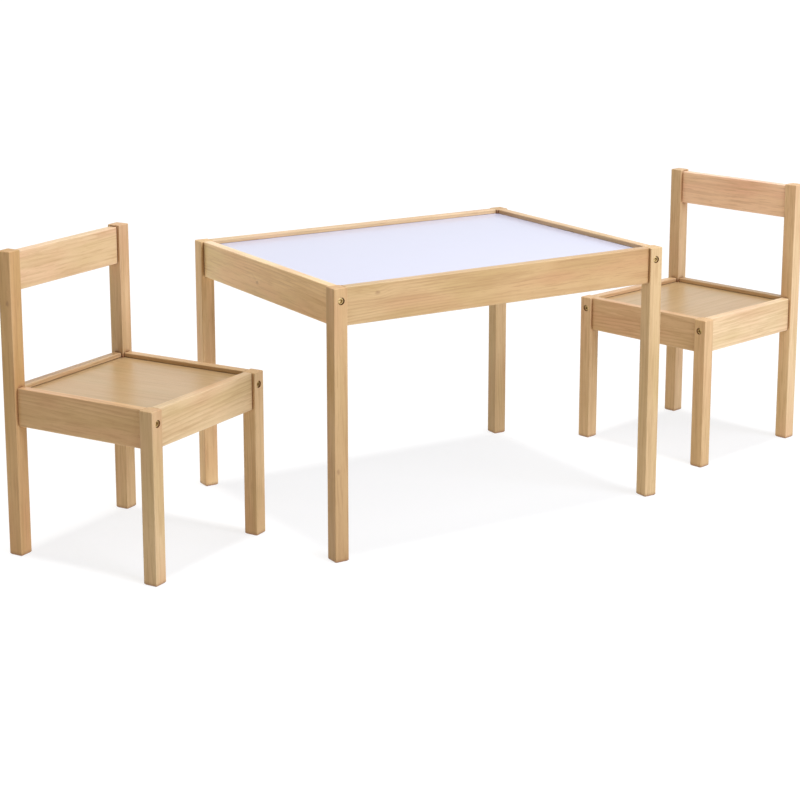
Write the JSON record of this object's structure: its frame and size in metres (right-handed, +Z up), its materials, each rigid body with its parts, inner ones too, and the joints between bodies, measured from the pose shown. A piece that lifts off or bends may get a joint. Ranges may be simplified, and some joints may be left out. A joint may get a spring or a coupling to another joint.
{
  "type": "kids table and chairs",
  "caption": "Low rectangular play table with a white panel top in a solid wood frame, with matching small wooden chairs that have a slat back and a panel seat.",
  "frame": {"origin": "middle of the floor under the whole set, at the centre of its overall box", "axes": "+X along the table's long side, from one chair to the other; +Z up; the table's front long side faces -Y"},
  "size_m": [1.4805, 0.47, 0.48],
  "materials": {
    "leg_wood": "light solid wood with long vertical grain and a satin clear lacquer",
    "rail_wood": "light solid wood with long grain along the rail and a satin clear lacquer",
    "seat_panel_wood": "plywood with a fine tan face veneer, clear lacquered",
    "top_panel_white": "fibreboard with a smooth glossy white laminate",
    "bolt_metal": "yellow zinc-plated steel",
    "nut_metal": "bright zinc-plated steel"
  },
  "bodies": {
    "table": {"table_barrel_nut_back_left": "nut_metal", "table_barrel_nut_back_right": "nut_metal", "table_barrel_nut_front_left": "nut_metal", "table_barrel_nut_front_right": "nut_metal", "table_bolt_back_left": "bolt_metal", "table_bolt_back_right": "bolt_metal", "table_bolt_front_left": "bolt_metal", "table_bolt_front_right": "bolt_metal", "table_leg_back_left": "leg_wood", "table_leg_back_right": "leg_wood", "table_leg_front_left": "leg_wood", "table_leg_front_right": "leg_wood", "table_rail_back": "rail_wood", "table_rail_front": "rail_wood", "table_rail_left": "rail_wood", "table_rail_right": "rail_wood", "table_top_panel": "top_panel_white"},
    "left_chair": {"left_chair_back_post_left": "leg_wood", "left_chair_back_post_right": "leg_wood", "left_chair_backrest_slat": "rail_wood", "left_chair_barrel_nut_back_left": "nut_metal", "left_chair_barrel_nut_back_right": "nut_metal", "left_chair_barrel_nut_front_left": "nut_metal", "left_chair_barrel_nut_front_right": "nut_metal", "left_chair_bolt_back_left": "bolt_metal", "left_chair_bolt_back_right": "bolt_metal", "left_chair_bolt_front_left": "bolt_metal", "left_chair_bolt_front_right": "bolt_metal", "left_chair_front_leg_left": "leg_wood", "left_chair_front_leg_right": "leg_wood", "left_chair_rail_back": "rail_wood", "left_chair_rail_front": "rail_wood", "left_chair_rail_left": "rail_wood", "left_chair_rail_right": "rail_wood", "left_chair_seat_panel": "seat_panel_wood"},
    "right_chair": {"right_chair_back_post_left": "leg_wood", "right_chair_back_post_right": "leg_wood", "right_chair_backrest_slat": "rail_wood", "right_chair_barrel_nut_back_left": "nut_metal", "right_chair_barrel_nut_back_right": "nut_metal", "right_chair_barrel_nut_front_left": "nut_metal", "right_chair_barrel_nut_front_right": "nut_metal", "right_chair_bolt_back_left": "bolt_metal", "right_chair_bolt_back_right": "bolt_metal", "right_chair_bolt_front_left": "bolt_metal", "right_chair_bolt_front_right": "bolt_metal", "right_chair_front_leg_left": "leg_wood", "right_chair_front_leg_right": "leg_wood", "right_chair_rail_back": "rail_wood", "right_chair_rail_front": "rail_wood", "right_chair_rail_left": "rail_wood", "right_chair_rail_right": "rail_wood", "right_chair_seat_panel": "seat_panel_wood"}
  },
  "joints": [
    {"name": "left_chair_slide", "type": "slide", "parent": "table", "child": "left_chair", "axis": [0.4648, -0.8854, 0], "range_m": [-0.25, 0.12]},
    {"name": "right_chair_slide", "type": "slide", "parent": "table", "child": "right_chair", "axis": [-0.9774, -0.2113, 0], "range_m": [-0.25, 0.35]}
  ]
}
